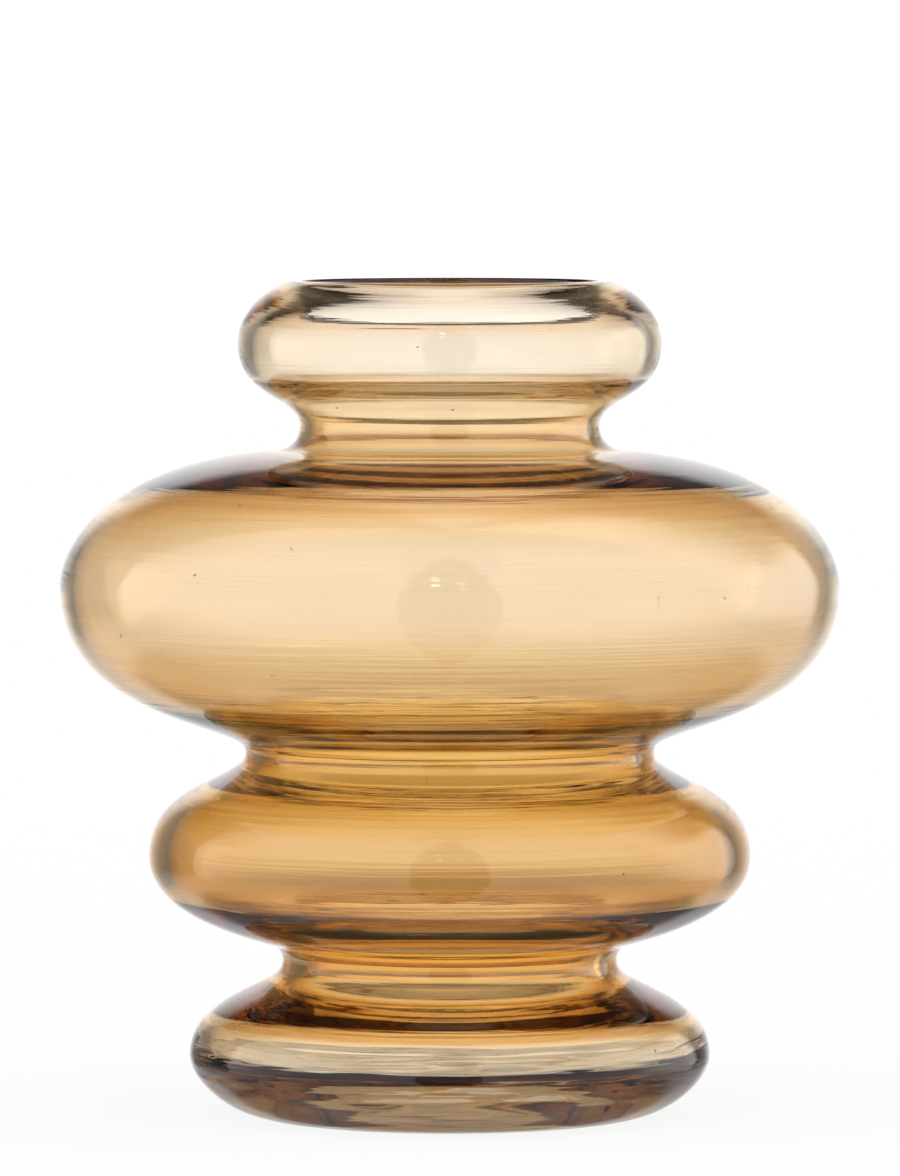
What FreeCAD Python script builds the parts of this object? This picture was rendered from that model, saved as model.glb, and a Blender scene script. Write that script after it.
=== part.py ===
import FreeCAD, Part
import math
import os
import Sketcher

# A vase of mould-blown glass in one piece: four flattened bulbs, stacked on one axis,
# flow into one another through three narrow necks, round one hollow that is open at the top.
# The bulbs are named from the foot upwards. The origin is the centre of the foot, with +Z up.
# Heights add up from the foot, so a bulb that grows taller lifts all that stands on it.

BULBS = ("base_bulb", "middle_bulb", "wide_bulb", "top_bulb")
NECKS = ("base_neck", "middle_neck", "top_neck")

# Driving dimensions in millimetres. A name that ends in share is a share of what it follows.
SIZES = {
    # Outer radius of each bulb at its widest ring and of each neck at its waist
    "base_bulb_radius": 68.75,
    "middle_bulb_radius": 79.4,
    "wide_bulb_radius": 102.7,
    "top_bulb_radius": 55.9,
    "base_neck_radius": 44.15,
    "middle_neck_radius": 53.9,
    "top_neck_radius": 39.4,
    # Height of each bulb below and above its widest ring, from waist to waist
    "base_bulb_under": 15.85,
    "base_bulb_over": 25.1,
    "middle_bulb_under": 27.45,
    "middle_bulb_over": 27.3,
    "wide_bulb_under": 44.1,
    "wide_bulb_over": 42.05,
    "top_bulb_under": 21.85,
    "top_bulb_over": 16.3,
    # Glass thickness at each widest ring and at each waist
    "base_bulb_wall": 4.5,
    "middle_bulb_wall": 5.1,
    "wide_bulb_wall": 3.35,
    "top_bulb_wall": 3.85,
    "base_neck_wall": 6.05,
    "middle_neck_wall": 5.45,
    "top_neck_wall": 3.0,
    # Outer rounding of each neck into the bulb below it and into the bulb above it
    "base_neck_rounding_below": 4.5,
    "base_neck_rounding_above": 4.6,
    "middle_neck_rounding_below": 3.5,
    "middle_neck_rounding_above": 3.4,
    "top_neck_rounding_below": 6.35,
    "top_neck_rounding_above": 5.15,
    # How much of a quarter turn each of those roundings makes
    "base_neck_turn_below_share": 0.595,
    "base_neck_turn_above_share": 0.77,
    "middle_neck_turn_below_share": 0.486,
    "middle_neck_turn_above_share": 0.618,
    "top_neck_turn_below_share": 0.955,
    "top_neck_turn_above_share": 0.4575,
    # Fullness of each half bulb outside: how far its curve runs straight on from the widest
    # ring, and how far it runs straight on from the neck, the foot or the rim
    "base_bulb_under_belly_share": 0.374,
    "base_bulb_under_end_share": 0.537,
    "base_bulb_over_belly_share": 0.611,
    "base_bulb_over_end_share": 0.30,
    "middle_bulb_under_belly_share": 0.687,
    "middle_bulb_under_end_share": 0.153,
    "middle_bulb_over_belly_share": 0.691,
    "middle_bulb_over_end_share": 0.218,
    "wide_bulb_under_belly_share": 0.774,
    "wide_bulb_under_end_share": 0.19,
    "wide_bulb_over_belly_share": 0.30,
    "wide_bulb_over_end_share": 0.78,
    "top_bulb_under_belly_share": 0.663,
    "top_bulb_under_end_share": 0.292,
    "top_bulb_over_belly_share": 0.485,
    "top_bulb_over_end_share": 0.471,
    # The same inside, where the glass gathers beside the necks and the bulbs are blown thin
    "base_bulb_inner_under_belly_share": 0.277,
    "base_bulb_inner_under_end_share": 0.574,
    "base_bulb_inner_over_belly_share": 0.68,
    "base_bulb_inner_over_end_share": 0.32,
    "middle_bulb_inner_under_belly_share": 0.785,
    "middle_bulb_inner_under_end_share": 0.255,
    "middle_bulb_inner_over_belly_share": 0.755,
    "middle_bulb_inner_over_end_share": 0.12,
    "wide_bulb_inner_under_belly_share": 0.845,
    "wide_bulb_inner_under_end_share": 0.12,
    "wide_bulb_inner_over_belly_share": 0.37,
    "wide_bulb_inner_over_end_share": 0.77,
    "top_bulb_inner_under_belly_share": 0.775,
    "top_bulb_inner_under_end_share": 0.383,
    "top_bulb_inner_over_belly_share": 0.54,
    "top_bulb_inner_over_end_share": 0.357,
    # Inner rounding of each neck, and how much of a quarter turn it makes
    "base_neck_inner_rounding_below": 10.9,
    "base_neck_inner_rounding_above": 11.35,
    "middle_neck_inner_rounding_below": 10.4,
    "middle_neck_inner_rounding_above": 8.0,
    "top_neck_inner_rounding_below": 11.0,
    "top_neck_inner_rounding_above": 9.1,
    "base_neck_inner_turn_below_share": 0.65,
    "base_neck_inner_turn_above_share": 0.66,
    "middle_neck_inner_turn_below_share": 0.53,
    "middle_neck_inner_turn_above_share": 0.62,
    "top_neck_inner_turn_below_share": 0.985,
    "top_neck_inner_turn_above_share": 0.285,
    # Rim: its flat top is a ring round the mouth, and the lip is the glass that the mouth
    # goes through; the fall is how the glass beside the rim drops away
    "rim_radius": 42.3,
    "rim_width": 3.5,
    "lip_depth": 3.4,
    "rim_fall": 2.1,
    "rim_edge_rounding": 0.8,
    # Foot: a flat ring that the vase stands on, round a shallow hollow
    "foot_radius": 47.8,
    "foot_ring_width": 8.4,
    "punt_depth": 1.8,
    # Floor of the hollow: thicker glass than the walls, flat out to where its corner starts,
    # and the height of the hollow below its widest ring in the base bulb
    "floor_thickness": 8.8,
    "floor_corner_width": 30.0,
    "hollow_under": 8.7,
    # How far a cut runs past the glass
    "cut_overrun": 3.0,
}


class Size:
    """A value together with the expression that works it out from the spreadsheet."""

    def __init__(self, value, text):
        self.value = value
        self.text = text

    def __add__(self, other):
        return Size(self.value + other.value, "(%s + %s)" % (self.text, other.text))

    def __sub__(self, other):
        return Size(self.value - other.value, "(%s - %s)" % (self.text, other.text))

    def __mul__(self, other):
        return Size(self.value * other.value, "(%s * %s)" % (self.text, other.text))

    def __truediv__(self, other):
        return Size(self.value / other.value, "(%s / %s)" % (self.text, other.text))


# How the names of the sizes tell the two sides of the glass apart
OUTER, INNER = "", "_inner"
ZERO = Size(0.0, "0")
QUARTER_TURN = Size(90.0, "90")
FULL_TURN = 360.0
# Normal of a sketch's own plane
UPWARDS = FreeCAD.Vector(0, 0, 1)
# How nearly a ring's radius and height must agree with the sizes to be the ring that is sought
RING_MATCH = 1e-6


def size(name):
    return Size(SIZES[name], "Sizes." + name)


def sine(angle):
    return Size(math.sin(math.radians(angle.value)), "sin(%s)" % angle.text)


def cosine(angle):
    return Size(math.cos(math.radians(angle.value)), "cos(%s)" % angle.text)


def fill_sheet(doc):
    """Keeps every driving dimension in a spreadsheet, one row for each."""
    sheet = doc.addObject("Spreadsheet::Sheet", "Sizes")
    for row, (name, value) in enumerate(SIZES.items(), start=1):
        sheet.set("A%d" % row, name)
        sheet.set("B%d" % row, str(value))
        sheet.setAlias("B%d" % row, name)
    doc.recompute()


def origin_plane(body, role):
    return next(part for part in body.Origin.OriginFeatures if part.Role == role)


class Outline:
    """A closed half section in the XZ plane, drawn downwards; across is the radius, up the height."""

    # How a sketch numbers a piece's points, and its own origin
    START_INDEX, END_INDEX, CENTRE_INDEX = 1, 2, 3
    ORIGIN_INDEX = (-1, 1)

    def __init__(self, body, name):
        self.sketch = body.newObject("Sketcher::SketchObject", name)
        self.sketch.AttachmentSupport = [(origin_plane(body, "XZ_Plane"), "")]
        self.sketch.MapMode = "FlatFace"
        self.pieces = []

    def tie(self, kind, *places):
        return self.sketch.addConstraint(Sketcher.Constraint(kind, *places))

    def dimension(self, kind, places, length):
        """Adds a dimension and binds it to the spreadsheet."""
        index = self.tie(kind, *places, length.value)
        self.sketch.setExpression("Constraints[%d]" % index, length.text)

    def fix(self, piece, end, across=None, up=None):
        """Sets how far a point is from the foot centre; at nought it is in line with it."""
        for kind, in_line, length in (
            ("DistanceX", "Vertical", across),
            ("DistanceY", "Horizontal", up),
        ):
            if length is ZERO:
                self.tie(in_line, *self.ORIGIN_INDEX, piece, end)
            elif length is not None:
                self.dimension(kind, (*self.ORIGIN_INDEX, piece, end), length)

    def add(self, shape):
        """Adds a piece that starts where the one before it ends."""
        piece = self.sketch.addGeometry(shape)
        if self.pieces:
            self.tie("Coincident", self.pieces[-1], self.END_INDEX, piece, self.START_INDEX)
        self.pieces.append(piece)
        return piece

    def close(self):
        self.tie("Coincident", self.pieces[-1], self.END_INDEX, self.pieces[0], self.START_INDEX)

    @staticmethod
    def vector(point):
        return FreeCAD.Vector(point[0].value, point[1].value, 0)

    def line(self, start, end):
        return self.add(Part.LineSegment(self.vector(start), self.vector(end)))

    def curve(self, poles, fixed):
        """A cubic curve on four poles, of which the fixed ones are dimensioned."""
        vectors = [self.vector(pole) for pole in poles]
        piece = self.add(Part.BSplineCurve(vectors, None, None, False, len(poles) - 1, None, False))
        self.sketch.exposeInternalGeometry(piece)
        for number in fixed:
            self.fix(piece + 1 + number, self.CENTRE_INDEX, *poles[number])
        return piece

    def rounding(self, neck, above):
        """One of a neck's two roundings: the one above its waist is drawn first."""
        radius, turn = (neck.round_above, neck.turn_above) if above else (neck.round_below, neck.turn_below)
        centre = self.vector((neck.waist + radius, neck.level))
        reach = math.radians(turn.value)
        angles = (math.pi - reach, math.pi) if above else (math.pi, math.pi + reach)
        piece = self.add(Part.ArcOfCircle(Part.Circle(centre, UPWARDS, radius.value), *angles))
        ends = (self.START_INDEX, self.END_INDEX)
        bulb_end, waist_end = ends if above else reversed(ends)
        if above:
            self.fix(piece, waist_end, neck.waist, neck.level)
        self.tie("Horizontal", piece, waist_end, piece, self.CENTRE_INDEX)
        self.dimension("Radius", (piece,), radius)
        low_to_high = (self.CENTRE_INDEX, bulb_end) if above else (bulb_end, self.CENTRE_INDEX)
        self.dimension("DistanceY", (piece, low_to_high[0], piece, low_to_high[1]), radius * sine(turn))


class Bulb:
    """One bulb's outer or inner side: its widest ring and the fullness of its two halves."""

    def __init__(self, name, level, side):
        self.belly = side_radius(name, side)
        self.level = level
        self.shares = {
            half: (size(name + side + half + "_belly_share"), size(name + side + half + "_end_share"))
            for half in ("_over", "_under")
        }


class Neck:
    """One neck's outer or inner side: its waist and its two roundings."""

    def __init__(self, name, level, side):
        self.waist = side_radius(name, side)
        self.level = level
        self.round_above = size(name + side + "_rounding_above")
        self.round_below = size(name + side + "_rounding_below")
        self.turn_above = size(name + side + "_turn_above_share") * QUARTER_TURN
        self.turn_below = size(name + side + "_turn_below_share") * QUARTER_TURN

    def bulb_end(self, above):
        """Where the rounding meets the bulb above or below, and how steeply it climbs there."""
        radius, turn = (self.round_above, self.turn_above) if above else (self.round_below, self.turn_below)
        across = self.waist + radius - radius * cosine(turn)
        rise = radius * sine(turn)
        return across, (self.level + rise if above else self.level - rise), cosine(turn) / sine(turn)


def side_radius(name, side):
    """Radius of a bulb at its widest ring, or of a neck at its waist, on one side of the glass."""
    radius = size(name + "_radius")
    return radius - size(name + "_wall") if side == INNER else radius


def mouth_radius():
    return size("rim_radius") - size("rim_width")


def stack_levels():
    """Heights of the widest rings, the waists and the rim, added up from the foot."""
    levels = {}
    level = ZERO
    for bulb, end in zip(BULBS, NECKS + ("rim",)):
        level = level + size(bulb + "_under")
        levels[bulb] = level
        level = level + size(bulb + "_over")
        levels[end] = level
    return levels


def bulb_side(outline, bulbs, necks, top, top_fall, bottom):
    """Draws the bulbs and necks from the rim or lip down to the foot or floor."""
    downwards = list(reversed(necks))
    for bulb, neck_over, neck_under in zip(reversed(bulbs), [None, *downwards], [*downwards, None]):
        belly = (bulb.belly, bulb.level)
        belly_share, end_share = bulb.shares["_over"]
        if neck_over:
            across, up, climb = neck_over.bulb_end(above=False)
            reach = end_share * (bulb.belly - across)
            handle = (across + reach, up - reach * climb)
        else:
            across, up = top
            handle = (across + end_share * (bulb.belly - across), up - top_fall)
        belly_handle = (bulb.belly, bulb.level + belly_share * (up - bulb.level))
        outline.curve([(across, up), handle, belly_handle, belly], fixed=(1, 2, 3))
        belly_share, end_share = bulb.shares["_under"]
        if neck_under:
            across, up, climb = neck_under.bulb_end(above=True)
            reach = end_share * (bulb.belly - across)
            handle = (across + reach, up + reach * climb)
        else:
            across, up = bottom
            handle = (across + end_share * (bulb.belly - across), up)
        belly_handle = (bulb.belly, bulb.level - belly_share * (bulb.level - up))
        last = () if neck_under else (3,)
        outline.curve([belly, belly_handle, handle, (across, up)], fixed=(1, 2, *last))
        if neck_under:
            outline.rounding(neck_under, above=True)
            outline.rounding(neck_under, above=False)


def draw_outside(body, levels):
    """The half section of the whole vase as if it were solid glass."""
    outline = Outline(body, "outer_outline")
    bulbs = [Bulb(name, levels[name], OUTER) for name in BULBS]
    necks = [Neck(name, levels[name], OUTER) for name in NECKS]
    rim = (size("rim_radius"), levels["rim"])
    foot = (size("foot_radius"), ZERO)
    axis = outline.line((ZERO, ZERO), (ZERO, rim[1]))
    outline.fix(axis, outline.START_INDEX, ZERO, ZERO)
    outline.fix(axis, outline.END_INDEX, ZERO, rim[1])
    rim_top = outline.line((ZERO, rim[1]), rim)
    outline.tie("Horizontal", rim_top)
    outline.fix(rim_top, outline.END_INDEX, across=rim[0])
    bulb_side(outline, bulbs, necks, rim, size("rim_fall"), foot)
    outline.line(foot, (ZERO, ZERO))
    outline.close()
    return outline.sketch


def draw_hollow(body, levels):
    """The half section of the hollow, from its floor up through the mouth."""
    outline = Outline(body, "hollow_outline")
    floor = size("floor_thickness")
    hollow_levels = dict(levels, base_bulb=floor + size("hollow_under"))
    bulbs = [Bulb(name, hollow_levels[name], INNER) for name in BULBS]
    necks = [Neck(name, levels[name], INNER) for name in NECKS]
    above_rim = levels["rim"] + size("cut_overrun")
    mouth = mouth_radius()
    lip = (mouth, levels["rim"] - size("lip_depth"))
    floor_edge = (bulbs[0].belly - size("floor_corner_width"), floor)
    axis = outline.line((ZERO, floor), (ZERO, above_rim))
    outline.fix(axis, outline.START_INDEX, ZERO, floor)
    outline.fix(axis, outline.END_INDEX, ZERO, above_rim)
    cut_top = outline.line((ZERO, above_rim), (mouth, above_rim))
    outline.tie("Horizontal", cut_top)
    outline.fix(cut_top, outline.END_INDEX, across=mouth)
    mouth_wall = outline.line((mouth, above_rim), lip)
    outline.tie("Vertical", mouth_wall)
    outline.fix(mouth_wall, outline.END_INDEX, up=lip[1])
    bulb_side(outline, bulbs, necks, lip, size("rim_fall"), floor_edge)
    outline.line(floor_edge, (ZERO, floor))
    outline.close()
    return outline.sketch


def draw_punt(body):
    """The half section of the shallow hollow under the foot: an arc from the foot ring to the axis."""
    outline = Outline(body, "punt_outline")
    radius, depth = size("foot_radius") - size("foot_ring_width"), size("punt_depth")
    below = ZERO - size("cut_overrun")
    bend = (radius * radius + depth * depth) / (depth + depth)
    axis = outline.line((ZERO, depth), (ZERO, below))
    outline.fix(axis, outline.START_INDEX, ZERO, depth)
    outline.fix(axis, outline.END_INDEX, ZERO, below)
    cut_bottom = outline.line((ZERO, below), (radius, below))
    outline.tie("Horizontal", cut_bottom)
    outline.fix(cut_bottom, outline.END_INDEX, across=radius)
    edge = outline.line((radius, below), (radius, ZERO))
    outline.tie("Vertical", edge)
    outline.fix(edge, outline.END_INDEX, up=ZERO)
    centre = outline.vector((ZERO, depth - bend))
    circle = Part.Circle(centre, UPWARDS, bend.value)
    first = math.atan2(-centre.y, radius.value)
    arc = outline.add(Part.ArcOfCircle(circle, first, math.pi / 2))
    outline.fix(arc, outline.CENTRE_INDEX, across=ZERO)
    outline.close()
    return outline.sketch


def turn_round(body, kind, name, sketch):
    """Turns a half section right round the axis, as glass that is added or cut away."""
    feature = body.newObject("PartDesign::" + kind, name)
    feature.Profile = sketch
    feature.ReferenceAxis = (sketch, ["V_Axis"])
    feature.Angle = FULL_TURN
    return feature


def ring_edges(shape, rings):
    """Names of the circular edges that have one of the given radii at its given height."""
    names = []
    for number, edge in enumerate(shape.Edges, start=1):
        if edge.Degenerated or not isinstance(edge.Curve, Part.Circle):
            continue
        found = (edge.Curve.Radius, edge.Curve.Center.z)
        for radius, level in rings:
            sought = (radius.value, level.value)
            if all(math.isclose(*pair, rel_tol=RING_MATCH) for pair in zip(found, sought)):
                names.append("Edge%d" % number)
    return names


def build_vase(doc):
    """The whole vase as one body: blown shape, hollow, punt and softened rim edges."""
    body = doc.addObject("PartDesign::Body", "vase_body")
    body.Label = "vase_body"
    levels = stack_levels()
    blown = turn_round(body, "Revolution", "blown_shape", draw_outside(body, levels))
    hollow = turn_round(body, "Groove", "hollow", draw_hollow(body, levels))
    punt = turn_round(body, "Groove", "punt", draw_punt(body))
    doc.recompute()
    rim, mouth = levels["rim"], mouth_radius()
    rings = [(size("rim_radius"), rim), (mouth, rim), (mouth, rim - size("lip_depth"))]
    edges = ring_edges(punt.Shape, rings)
    if len(edges) != len(rings):
        raise RuntimeError("the rim has %d edges to soften, not %d" % (len(edges), len(rings)))
    soft_rim = body.newObject("PartDesign::Fillet", "soft_rim")
    soft_rim.Base = (punt, edges)
    soft_rim.Radius = SIZES["rim_edge_rounding"]
    soft_rim.setExpression("Radius", "Sizes.rim_edge_rounding")
    doc.recompute()
    volumes = [feature.Shape.Volume for feature in (blown, hollow, punt, soft_rim)]
    if sorted(volumes, reverse=True) != volumes or len(set(volumes)) != len(volumes):
        raise RuntimeError("a cut took no glass away: %s" % volumes)
    return body


def check(doc, bodies):
    """Stops before anything is written if an object failed or a shape is unsound."""
    for item in doc.Objects:
        if {"Invalid", "Error"} & set(item.State):
            raise RuntimeError("%s is in state %s" % (item.Name, item.State))
    for body in bodies:
        if body.Shape.isNull() or not body.Shape.isValid() or len(body.Shape.Solids) != 1:
            raise RuntimeError("%s has no sound single solid" % body.Label)


def main():
    doc = FreeCAD.newDocument("vase")
    fill_sheet(doc)
    bodies = [build_vase(doc)]
    check(doc, bodies)
    os.makedirs("parts", exist_ok=True)
    for body in bodies:
        body.Shape.exportStep("parts/%s.step" % body.Label)
        box = body.Shape.BoundBox
        print(body.Label, "%.1f x %.1f x %.1f mm" % (box.XLength, box.YLength, box.ZLength))
        print("glass %.0f cubic mm" % body.Shape.Volume)


main()
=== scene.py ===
import math

import bpy
import numpy as np
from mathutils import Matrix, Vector


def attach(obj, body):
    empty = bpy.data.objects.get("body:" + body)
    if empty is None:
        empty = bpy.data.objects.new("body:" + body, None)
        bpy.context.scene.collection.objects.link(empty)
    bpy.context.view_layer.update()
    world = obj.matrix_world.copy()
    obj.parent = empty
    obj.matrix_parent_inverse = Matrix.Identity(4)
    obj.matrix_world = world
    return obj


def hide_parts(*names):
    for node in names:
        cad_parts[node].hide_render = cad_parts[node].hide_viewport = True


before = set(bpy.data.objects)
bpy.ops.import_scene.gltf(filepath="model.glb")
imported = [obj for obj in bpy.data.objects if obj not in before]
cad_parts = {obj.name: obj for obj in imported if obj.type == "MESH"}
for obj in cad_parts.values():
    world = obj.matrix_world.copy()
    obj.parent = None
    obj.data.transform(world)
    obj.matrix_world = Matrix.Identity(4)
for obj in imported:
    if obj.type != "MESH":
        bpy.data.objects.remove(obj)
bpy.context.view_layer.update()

# A vase of amber mould-blown glass: four flattened bulbs on one axis, three necks, one hollow.
# The glass is one closed mesh turned from a half section, as the CAD body is, and finer.
# Lengths in the section are in millimetres; everything placed in the scene is in metres.

MM = 0.001

# Each bulb from the foot upwards: radius and wall at its widest ring, height under and over it,
# and the fullness of its halves as (share at the belly, share at the end), outside and inside
BULBS = (
    dict(radius=68.75, wall=4.5, under=15.85, over=25.1,
         outside=((0.374, 0.537), (0.611, 0.30)), inside=((0.277, 0.574), (0.68, 0.32))),
    dict(radius=79.4, wall=5.1, under=27.45, over=27.3,
         outside=((0.687, 0.153), (0.691, 0.218)), inside=((0.785, 0.255), (0.755, 0.12))),
    dict(radius=102.7, wall=3.35, under=44.1, over=42.05,
         outside=((0.774, 0.19), (0.30, 0.78)), inside=((0.845, 0.12), (0.37, 0.77))),
    dict(radius=55.9, wall=3.85, under=21.85, over=16.3,
         outside=((0.663, 0.292), (0.485, 0.471)), inside=((0.775, 0.383), (0.54, 0.357))),
)
# Each neck: radius and wall at the waist, and its roundings below and above the waist as
# (radius, share of a quarter turn), outside and inside
NECKS = (
    dict(radius=44.15, wall=6.05,
         outside=((4.5, 0.595), (4.6, 0.77)), inside=((10.9, 0.65), (11.35, 0.66))),
    dict(radius=53.9, wall=5.45,
         outside=((3.5, 0.486), (3.4, 0.618)), inside=((10.4, 0.53), (8.0, 0.62))),
    dict(radius=39.4, wall=3.0,
         outside=((6.35, 0.955), (5.15, 0.4575)), inside=((11.0, 0.985), (9.1, 0.285))),
)
RIM = dict(radius=42.3, width=3.5, lip=3.4, fall=2.1, edge=0.8)
FOOT = dict(radius=47.8, ring=8.4, punt=1.8)
FLOOR = dict(thickness=8.8, corner=30.0, under=8.7)
# The arcs that soften the rim. At the lip: how far over it the arc's centre is, how far under it
# the inner wall stops, and the angle where the arc starts. Outside: how far in from the wall the
# arc's centre is, how far under the top the outer wall starts, and the angle where the arc ends.
LIP_RISE, LIP_GAP, LIP_ANGLE = 0.45, 0.25, 230
EDGE_IN, EDGE_DROP, EDGE_ANGLE = 0.35, 0.12, 72

# Steps of a bulb's half, of a rounding, of the floor and the punt, and of the rim's arcs
STEPS = 18
ROUNDING_STEPS = 9
FLOOR_STEPS = 12
PUNT_STEPS = 15
LIP_STEPS, MOUTH_STEPS, EDGE_STEPS = 5, 6, 3
AROUND = 200


def bezier(poles):
    p = np.array(poles, float)
    t = np.linspace(0, 1, STEPS + 1)[:, None]
    return (1 - t)**3 * p[0] + 3 * (1 - t)**2 * t * p[1] + 3 * (1 - t) * t**2 * p[2] + t**3 * p[3]


def arc(centre, radius, start, end, steps):
    a = np.radians(np.linspace(start, end, steps + 1))
    return np.stack([centre[0] + radius * np.cos(a), centre[1] + radius * np.sin(a)], 1)


def stack_levels():
    """Heights of the widest rings and of the waists, of which the last is the rim."""
    level, bellies, waists = 0.0, [], []
    for bulb in BULBS:
        level += bulb["under"]
        bellies.append(level)
        level += bulb["over"]
        waists.append(level)
    return bellies, waists


def neck_rounding(number, inside, above, level):
    """A neck's rounding as an arc drawn downwards, its bulb end, and how steeply it climbs there."""
    neck = NECKS[number]
    radius, share = neck["inside" if inside else "outside"][1 if above else 0]
    turn = 90 * share
    centre = (neck["radius"] - (neck["wall"] if inside else 0.0) + radius, level)
    angles = (180 - turn, 180) if above else (180, 180 + turn)
    points = arc(centre, radius, *angles, ROUNDING_STEPS)
    return points, points[0 if above else -1], 1 / math.tan(math.radians(turn))


def side(inside):
    """The bulbs and necks from the rim down to the foot, or from the lip down to the floor."""
    bellies, waists = stack_levels()
    if inside:
        bellies[0] = FLOOR["thickness"] + FLOOR["under"]
    curves = []
    for number in reversed(range(len(BULBS))):
        bulb = BULBS[number]
        belly = bulb["radius"] - (bulb["wall"] if inside else 0.0)
        level = bellies[number]
        under, over = bulb["inside" if inside else "outside"]
        if number == len(NECKS):
            end = (RIM["radius"], waists[-1])
            if inside:
                end = (end[0] - RIM["width"], end[1] - RIM["lip"])
            handle = (end[0] + over[1] * (belly - end[0]), end[1] - RIM["fall"])
        else:
            points, end, climb = neck_rounding(number, inside, False, waists[number])
            curves.append(points)
            reach = over[1] * (belly - end[0])
            handle = (end[0] + reach, end[1] - reach * climb)
        curves.append(bezier([end, handle, (belly, level + over[0] * (end[1] - level)), (belly, level)]))
        if number:
            points, end, climb = neck_rounding(number - 1, inside, True, waists[number - 1])
            reach = under[1] * (belly - end[0])
            handle = (end[0] + reach, end[1] + reach * climb)
        else:
            points = None
            end = (belly - FLOOR["corner"], FLOOR["thickness"]) if inside else (FOOT["radius"], 0.0)
            handle = (end[0] + under[1] * (belly - end[0]), end[1])
        curves.append(bezier([(belly, level), (belly, level - under[0] * (level - end[1])), handle, end]))
        if points is not None:
            curves.append(points)
    return np.concatenate([curve[:-1] for curve in curves] + [curves[-1][-1:]])


def section():
    """The closed half section, from the middle of the floor over the rim to the middle of the punt."""
    inside, outside = side(True)[::-1], side(False)
    top = outside[0][1]
    lip = top - RIM["lip"]
    edge = RIM["edge"]
    mouth = RIM["radius"] - RIM["width"]
    floor = np.linspace(0, inside[0][0], FLOOR_STEPS + 1)[:-1]
    punt_radius, punt = FOOT["radius"] - FOOT["ring"], FOOT["punt"]
    bend = (punt_radius**2 + punt**2) / (2 * punt)
    under = np.linspace(punt_radius, 0, PUNT_STEPS + 1)
    return np.concatenate([
        np.stack([floor, np.full(FLOOR_STEPS, FLOOR["thickness"])], 1),
        inside[inside[:, 1] < lip - LIP_GAP],
        arc((mouth + edge, lip + LIP_RISE), edge, LIP_ANGLE, 180, LIP_STEPS),
        arc((mouth + edge, top - edge), edge, 180, 90, MOUTH_STEPS),
        arc((RIM["radius"] - EDGE_IN, top - edge), edge, 90, EDGE_ANGLE, EDGE_STEPS),
        outside[outside[:, 1] < top - EDGE_DROP],
        np.stack([under, punt - bend + np.sqrt(bend**2 - under**2)], 1),
    ])


# Seeds, the tiny bubbles in the walls of the bulbs: how many in each bulb, least and most radius,
# how far from the widest ring they lie as a share of the bulb's half height, and their facets
SEEDS = (6, 9, 22, 5)
SEED_RADIUS = (0.18, 0.42)
SEED_SPREAD = 0.72
SEED_SIDES, SEED_RINGS = 10, 7
SEED_CHANCE = 7


def seeds():
    """Centre and radius of each seed, in the middle of the wall."""
    chance = np.random.default_rng(SEED_CHANCE)
    bellies, _ = stack_levels()
    walls = side(True)[::-1], side(False)[::-1]
    for number, count in enumerate(SEEDS):
        bulb = BULBS[number]
        for _ in range(count):
            share = chance.uniform(-SEED_SPREAD, SEED_SPREAD)
            level = bellies[number] + share * bulb["over" if share > 0 else "under"]
            around = chance.uniform(0, 2 * math.pi)
            radius = chance.uniform(*SEED_RADIUS)
            across = sum(np.interp(level, wall[:, 1], wall[:, 0]) for wall in walls) / 2
            yield (across * math.cos(around), across * math.sin(around), level), radius


def bubble(centre, radius):
    """A small ball whose faces look inwards, as the hollow of a bubble does in the glass."""
    up = np.linspace(0, math.pi, SEED_RINGS + 2)[1:-1, None]
    turn = np.linspace(0, 2 * math.pi, SEED_SIDES, endpoint=False)[None]
    ball = np.stack([np.sin(up) * np.cos(turn), np.sin(up) * np.sin(turn), np.cos(up) + 0 * turn], 2)
    ball = np.concatenate([ball.reshape(-1, 3), [(0, 0, 1), (0, 0, -1)]])
    top, bottom = SEED_RINGS * SEED_SIDES, SEED_RINGS * SEED_SIDES + 1
    last = (SEED_RINGS - 1) * SEED_SIDES
    faces = []
    for j in range(SEED_SIDES):
        k = (j + 1) % SEED_SIDES
        faces.append((top, k, j))
        faces.append((bottom, last + j, last + k))
        for row in range(0, last, SEED_SIDES):
            faces.append((row + j, row + k, row + SEED_SIDES + k, row + SEED_SIDES + j))
    return ((np.array(centre) + radius * ball) * MM).tolist(), faces


def lathe(points):
    """The places and faces of a closed form turned from a half section that starts and ends on the axis."""
    ring = points[1:-1] * MM
    a = np.linspace(0, 2 * math.pi, AROUND, endpoint=False)
    rows = np.empty((len(ring), AROUND, 3))
    rows[:, :, 0] = ring[:, 0, None] * np.cos(a)
    rows[:, :, 1] = ring[:, 0, None] * np.sin(a)
    rows[:, :, 2] = ring[:, 1, None]
    places = rows.reshape(-1, 3).tolist() + [(0, 0, points[0][1] * MM), (0, 0, points[-1][1] * MM)]
    first, last = len(places) - 2, len(places) - 1
    here = np.arange(AROUND)
    beside = np.roll(here, -1)
    faces = []
    for row in range(0, first - AROUND, AROUND):
        below = row + AROUND
        faces += np.stack([row + here, below + here, below + beside, row + beside], 1).tolist()
    pairs = list(zip(here.tolist(), beside.tolist()))
    faces += [(first, j, k) for j, k in pairs]
    faces += [(last, first - AROUND + k, first - AROUND + j) for j, k in pairs]
    return places, faces


def add_object(name, data):
    obj = bpy.data.objects.new(name, data)
    bpy.context.scene.collection.objects.link(obj)
    return obj


def add_mesh(name, places, faces, material):
    mesh = bpy.data.meshes.new(name)
    mesh.from_pydata(places, [], faces)
    mesh.materials.append(material)
    return add_object(name, mesh)


VASE_HEIGHT = 220.0
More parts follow.
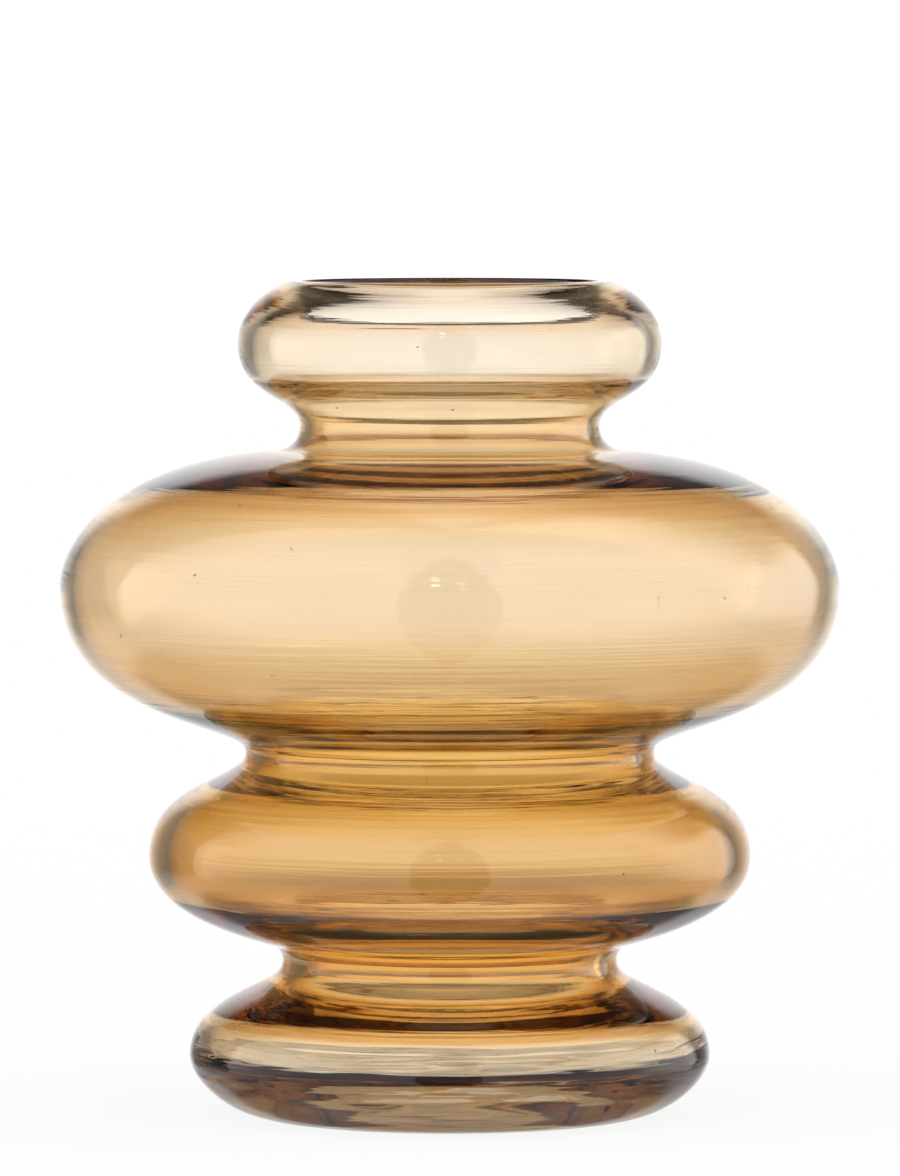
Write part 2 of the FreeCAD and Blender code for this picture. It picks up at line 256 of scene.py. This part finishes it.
# Tint of one wall crossing at heights up the vase, in millimetres
TINTS = (
    (0, (0.89, 0.94, 1.0)),
    (10, (0.95, 0.95, 0.95)),
    (20, (0.98, 0.9, 0.77)),
    (28, (0.97, 0.78, 0.5)),
    (45, (0.96, 0.7, 0.33)),
    (68, (0.93, 0.77, 0.54)),
    (96, (0.96, 0.75, 0.38)),
    (120, (0.98, 0.86, 0.68)),
    (140, (0.98, 0.9, 0.79)),
    (168, (0.97, 0.8, 0.56)),
    (184, (0.98, 0.84, 0.62)),
    (200, (0.98, 0.95, 0.9)),
    (208, (0.98, 0.93, 0.86)),
    (220, (0.98, 0.86, 0.72)),
)
# How much longer a slanting ray's way is through the coloured skin than a straight one's, and
# from which slant on, where 0 is straight and 1 is along the surface
SLANT_WAY = 3.0
SLANT_START = 0.2
# What a metre of the glass takes away of red, green and blue
ABSORPTION = (16.0, 25.0, 41.0)
ABSORPTION_DENSITY = 60.0
GLASS_IOR = 1.5

# Waves in the surface: the stretch of the noise per metre, its detail, the waves' depth in metres,
# and how much of them there is at heights up the vase in millimetres, where it isn't the same all
# over. Broad and fine streaks, as the mould and the turning leave them, then uneven glass at the
# foot, then rings beside the necks.
WAVES = (
    ((6, 6, 90), 2.0, 0.00016, None),
    ((10, 10, 600), 3.0, 0.00005, None),
    ((25, 25, 380), 1.0, 0.0008, ((0, 0.12), (9, 0.2), (12, 1.0), (18, 1.0), (24, 0.0), (220, 0.0))),
    ((2, 2, 420), 1.0, 0.00014, (
        (0, 0.3), (14, 0.1), (24, 0.3), (30, 1.0), (54, 1.0), (64, 0.1), (74, 0.1), (86, 1.0),
        (106, 1.0), (118, 0.15), (140, 0.0), (160, 0.1), (176, 0.1), (182, 0.6), (190, 0.6),
        (202, 0.1), (220, 0.0),
    )),
)


class Nodes:
    """Short calls for building the node tree of a material or world."""

    def __init__(self, owner):
        owner.use_nodes = True
        self.tree = owner.node_tree
        self.tree.nodes.clear()

    def add(self, kind, **sockets):
        node = self.tree.nodes.new(kind)
        for name, value in sockets.items():
            self.put(node.inputs[name.replace("_", " ")], value)
        return node

    def put(self, socket, value):
        if isinstance(value, bpy.types.NodeSocket):
            self.tree.links.new(value, socket)
        else:
            socket.default_value = value

    def math(self, operation, a, b=0.0, clamp=False):
        node = self.tree.nodes.new("ShaderNodeMath")
        node.operation = operation
        node.use_clamp = clamp
        self.put(node.inputs[0], a)
        self.put(node.inputs[1], b)
        return node.outputs[0]

    def mix(self, share, a, b, blend="MIX"):
        node = self.tree.nodes.new("ShaderNodeMix")
        node.data_type = "RGBA"
        node.blend_type = blend
        self.put(node.inputs[0], share)
        self.put(node.inputs[6], a)
        self.put(node.inputs[7], b)
        return node.outputs[2]

    def span(self, value, start, end, first=0.0, last=1.0, smooth=False):
        """Runs from first to last while value runs from start to end, and stays there outside."""
        node = self.add("ShaderNodeMapRange", Value=value, From_Min=start, From_Max=end,
                        To_Min=first, To_Max=last)
        if smooth:
            node.interpolation_type = "SMOOTHSTEP"
        return node.outputs[0]

    def ramp(self, value, low, high, stops):
        """A ramp over value from low to high, with (place, colour or level) stops in the same unit."""
        node = self.tree.nodes.new("ShaderNodeValToRGB")
        elements = node.color_ramp.elements
        while len(elements) < len(stops):
            elements.new(0.5)
        for element, (place, colour) in zip(elements, stops):
            element.position = (place - low) / (high - low)
            element.color = (*(colour if isinstance(colour, tuple) else (colour,) * 3), 1)
        self.tree.links.new(self.span(value, low, high), node.inputs[0])
        return node.outputs[0]


def waved(nodes, place, height):
    """The surface's normal with all the waves on it."""
    normal = None
    for stretch, detail, depth, shares in WAVES:
        across = nodes.add("ShaderNodeVectorMath", Vector=place)
        across.operation = "MULTIPLY"
        across.inputs[1].default_value = stretch
        noise = nodes.add("ShaderNodeTexNoise", Vector=across.outputs[0], Scale=1.0, Detail=detail)
        swell = noise.outputs[0]
        if shares:
            share = nodes.ramp(height, 0.0, VASE_HEIGHT, shares)
            swell = nodes.math("MULTIPLY", nodes.math("SUBTRACT", swell, 0.5), share)
        bump = nodes.add("ShaderNodeBump", Strength=1.0, Distance=depth, Height=swell)
        if normal:
            nodes.put(bump.inputs["Normal"], normal)
        normal = bump.outputs[0]
    return normal


def glass():
    mat = bpy.data.materials.new("amber_glass")
    nodes = Nodes(mat)
    place = nodes.add("ShaderNodeTexCoord").outputs["Object"]
    height = nodes.math("DIVIDE", nodes.add("ShaderNodeSeparateXYZ", Vector=place).outputs["Z"], MM)
    slant = nodes.add("ShaderNodeLayerWeight", Blend=0.5).outputs["Facing"]
    tint = nodes.add("ShaderNodeGamma", Color=nodes.ramp(height, 0.0, VASE_HEIGHT, TINTS),
                     Gamma=nodes.span(slant, SLANT_START, 1.0, 1.0, SLANT_WAY))
    skin = nodes.add("ShaderNodeBsdfPrincipled", Base_Color=tint.outputs[0], Roughness=0.0,
                     IOR=GLASS_IOR, Transmission_Weight=1.0, Normal=waved(nodes, place, height))
    passed = [1 - taken / ABSORPTION_DENSITY for taken in ABSORPTION]
    depth = nodes.add("ShaderNodeVolumeAbsorption", Color=(*passed, 1), Density=ABSORPTION_DENSITY)
    nodes.add("ShaderNodeOutputMaterial", Surface=skin.outputs[0], Volume=depth.outputs[0])
    return mat


def vase():
    places, faces = lathe(section())
    for centre, radius in seeds():
        ball, sides = bubble(centre, radius)
        faces += [[corner + len(places) for corner in face] for face in sides]
        places += ball
    obj = add_mesh("vase_glass", places, faces, glass())
    obj.data.polygons.foreach_set("use_smooth", [True] * len(faces))
    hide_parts("vase_body")
    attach(obj, "root")


# Studio, as the brightness of the room: by azimuth, which is 0 towards the camera and positive to
# its right, and by elevation behind the vase and on the camera's side. Angles are in degrees.
AROUND_ROOM = (
    (-180, 1.0),
    (-170, 1.0),
    (-164, 0.78),
    (-156, 0.3),
    (-116, 0.15),
    (-114, 1.25),
    (84, 1.15),
    (98, 1.7),
    (112, 1.7),
    (122, 1.4),
    (137, 1.3),
    (142, 0.2),
    (154, 0.4),
    (163, 0.85),
    (170, 1.0),
    (180, 1.0),
)
BEHIND = (
    (-90, 1.0),
    (-60, 0.9),
    (-45, 0.35),
    (-33, 0.3),
    (-27, 0.8),
    (-18, 0.7),
    (-10, 1.0),
    (0, 1.15),
    (13, 1.2),
    (20, 1.05),
    (25, 0.18),
    (36, 0.1),
    (50, 0.06),
    (64, 0.9),
    (90, 1.0),
)
CAMERA_SIDE = (
    (-90, 1.0),
    (-60, 0.9),
    (-42, 0.8),
    (-14, 1.0),
    (65, 1.0),
    (90, 0.6),
)
# How far a direction points to the camera, from -1 to 1, up to which only the room behind counts
# and from which on only the camera's side does
BEHIND_END, CAMERA_SIDE_START = -0.5, 0.0
# The table is pale on all sides: the elevations where it begins and where only it is seen
TABLE_START, TABLE_END = -9.0, -18.0
TABLE_LEVEL = (1.0, 1.0, 1.0, 1.0)
# The photographer's dark outline, an oval: its azimuth and elevation, half its width and height as
# angles, its level, and between which squares of the share of its size its edge fades out
OUTLINE_PLACE = (0.0, 0.0)
OUTLINE_WIDTH = 15.6
OUTLINE_HEIGHT = 62.0
OUTLINE_LEVEL = 0.35
OUTLINE_EDGE = (0.92, 1.04)
# A small lamp over the camera, which leaves a glint on each bulb, in the same terms
LAMP_PLACE = (-4.5, 32.0)
LAMP_WIDTH = 1.7
LAMP_HEIGHT = 1.0
LAMP_LEVEL = 9.0
LAMP_EDGE = (0.7, 1.2)


def room():
    """A white backdrop behind, dark gaps at its sides, and bright diffusers on the camera's side."""
    world = bpy.data.worlds.new("room")
    bpy.context.scene.world = world
    nodes = Nodes(world)
    direction = nodes.add("ShaderNodeTexCoord").outputs["Generated"]
    x, y, z = nodes.add("ShaderNodeSeparateXYZ", Vector=direction).outputs
    nearer = nodes.math("MULTIPLY", y, -1.0)
    azimuth = nodes.math("DEGREES", nodes.math("ARCTAN2", x, nearer))
    elevation = nodes.math("DEGREES", nodes.math("ARCSINE", z))

    def oval(place, width, height, edge, level, outside):
        """A level in an oval round a place, another outside, and a soft edge between the two."""
        across = nodes.math("DIVIDE", nodes.math("SUBTRACT", azimuth, place[0]), width)
        up = nodes.math("DIVIDE", nodes.math("SUBTRACT", elevation, place[1]), height)
        off = nodes.math("ADD", nodes.math("MULTIPLY", across, across), nodes.math("MULTIPLY", up, up))
        return nodes.span(off, *edge, level, outside)

    around = nodes.mix(nodes.span(elevation, TABLE_START, TABLE_END),
                       nodes.ramp(azimuth, -180, 180, AROUND_ROOM), TABLE_LEVEL)
    rise = nodes.mix(nodes.span(nearer, BEHIND_END, CAMERA_SIDE_START),
                     nodes.ramp(elevation, -90, 90, BEHIND), nodes.ramp(elevation, -90, 90, CAMERA_SIDE))
    outline = oval(OUTLINE_PLACE, OUTLINE_WIDTH, OUTLINE_HEIGHT, OUTLINE_EDGE, OUTLINE_LEVEL, 1.0)
    lamp = oval(LAMP_PLACE, LAMP_WIDTH, LAMP_HEIGHT, LAMP_EDGE, LAMP_LEVEL, 0.0)
    light = nodes.mix(1.0, nodes.mix(1.0, around, rise, "MULTIPLY"), outline, "MULTIPLY")
    light = nodes.mix(1.0, light, lamp, "ADD")
    sky = nodes.add("ShaderNodeBackground", Color=light, Strength=1.0)
    nodes.add("ShaderNodeOutputWorld", Surface=sky.outputs[0])


# The floor: half its size, its colour, how much of the backdrop's white it has near the vase, and
# the distances between which that grows to all of it
FLOOR_SIZE = 6.0
FLOOR_COLOUR = (0.9, 0.9, 0.9, 1)
WHITE = (1, 1, 1, 1)
FLOOR_GLOW = 0.9
FADE_START = 0.35
FADE_END = 1.1


def floor():
    """A pale floor that keeps the shadow near the vase and fades into the white of the room."""
    mat = bpy.data.materials.new("floor")
    nodes = Nodes(mat)
    away = nodes.tree.nodes.new("ShaderNodeVectorMath")
    away.operation = "LENGTH"
    nodes.put(away.inputs[0], nodes.add("ShaderNodeTexCoord").outputs["Object"])
    fade = nodes.span(away.outputs["Value"], FADE_START, FADE_END, FLOOR_GLOW, 1.0, smooth=True)
    ray = nodes.add("ShaderNodeLightPath")
    seen = nodes.math("ADD", ray.outputs["Is Camera Ray"], ray.outputs["Is Glossy Ray"], clamp=True)
    seen = nodes.math("ADD", seen, ray.outputs["Is Transmission Ray"], clamp=True)
    lit = nodes.add("ShaderNodeBsdfDiffuse", Color=FLOOR_COLOUR)
    white = nodes.add("ShaderNodeEmission", Color=WHITE, Strength=1.0)
    mixed = nodes.add("ShaderNodeMixShader", Fac=nodes.math("MULTIPLY", seen, fade))
    nodes.put(mixed.inputs[1], lit.outputs[0])
    nodes.put(mixed.inputs[2], white.outputs[0])
    nodes.add("ShaderNodeOutputMaterial", Surface=mixed.outputs[0])
    s = FLOOR_SIZE
    obj = add_mesh("floor", [(-s, -s, 0), (s, -s, 0), (s, s, 0), (-s, s, 0)], [(0, 1, 2, 3)], mat)
    obj.visible_glossy = False
    obj.visible_transmission = False


# The overhead lamp, which lights the floor and isn't seen in the glass: the place that it is
# aimed at, its distance from there, its elevation in degrees, its size and its radiance
AIM = Vector((0, 0, 0.12))
OVERHEAD_DISTANCE = 2.0
OVERHEAD_ELEVATION = 88
OVERHEAD_SIZE = 3.0
OVERHEAD_RADIANCE = 0.65


def overhead():
    lamp = bpy.data.lights.new("overhead", "AREA")
    lamp.shape = "RECTANGLE"
    lamp.size = lamp.size_y = OVERHEAD_SIZE
    lamp.energy = OVERHEAD_RADIANCE * math.pi * OVERHEAD_SIZE**2
    obj = add_object("overhead", lamp)
    elevation = math.radians(OVERHEAD_ELEVATION)
    obj.location = AIM + OVERHEAD_DISTANCE * Vector((0, -math.cos(elevation), math.sin(elevation)))
    obj.rotation_euler = (AIM - obj.location).to_track_quat("-Z", "Y").to_euler()
    obj.visible_glossy = False
    obj.visible_transmission = False
    obj.visible_camera = False


# Camera, fitted to the vase's outline in the photograph, whose size is in pixels
CAMERA_DISTANCE = 2.4
CAMERA_HEIGHT = 0.268
FOCAL_PIXELS = 9119.0
AIM_HEIGHT = 0.13901
AIM_PIXEL = 449.7
WIDTH, HEIGHT = 900, 1176
SENSOR = 24.0


def camera():
    cam = bpy.data.cameras.new("camera")
    obj = add_object("camera", cam)
    bpy.context.scene.camera = obj
    obj.location = (0, -CAMERA_DISTANCE, CAMERA_HEIGHT)
    aim = Vector((0, 0, AIM_HEIGHT)) - obj.location
    obj.rotation_euler = aim.to_track_quat("-Z", "Y").to_euler()
    cam.sensor_fit = "VERTICAL"
    cam.sensor_height = SENSOR
    cam.lens = FOCAL_PIXELS / HEIGHT * SENSOR
    cam.shift_x = (WIDTH / 2 - AIM_PIXEL) / HEIGHT
    cam.clip_end = 100


# Light crosses many glass surfaces before it leaves the vase
BOUNCES = 32

vase()
floor()
room()
overhead()
camera()

scene = bpy.context.scene
scene.view_settings.view_transform = "Standard"
scene.cycles.max_bounces = BOUNCES
scene.cycles.transmission_bounces = BOUNCES
scene.cycles.glossy_bounces = BOUNCES
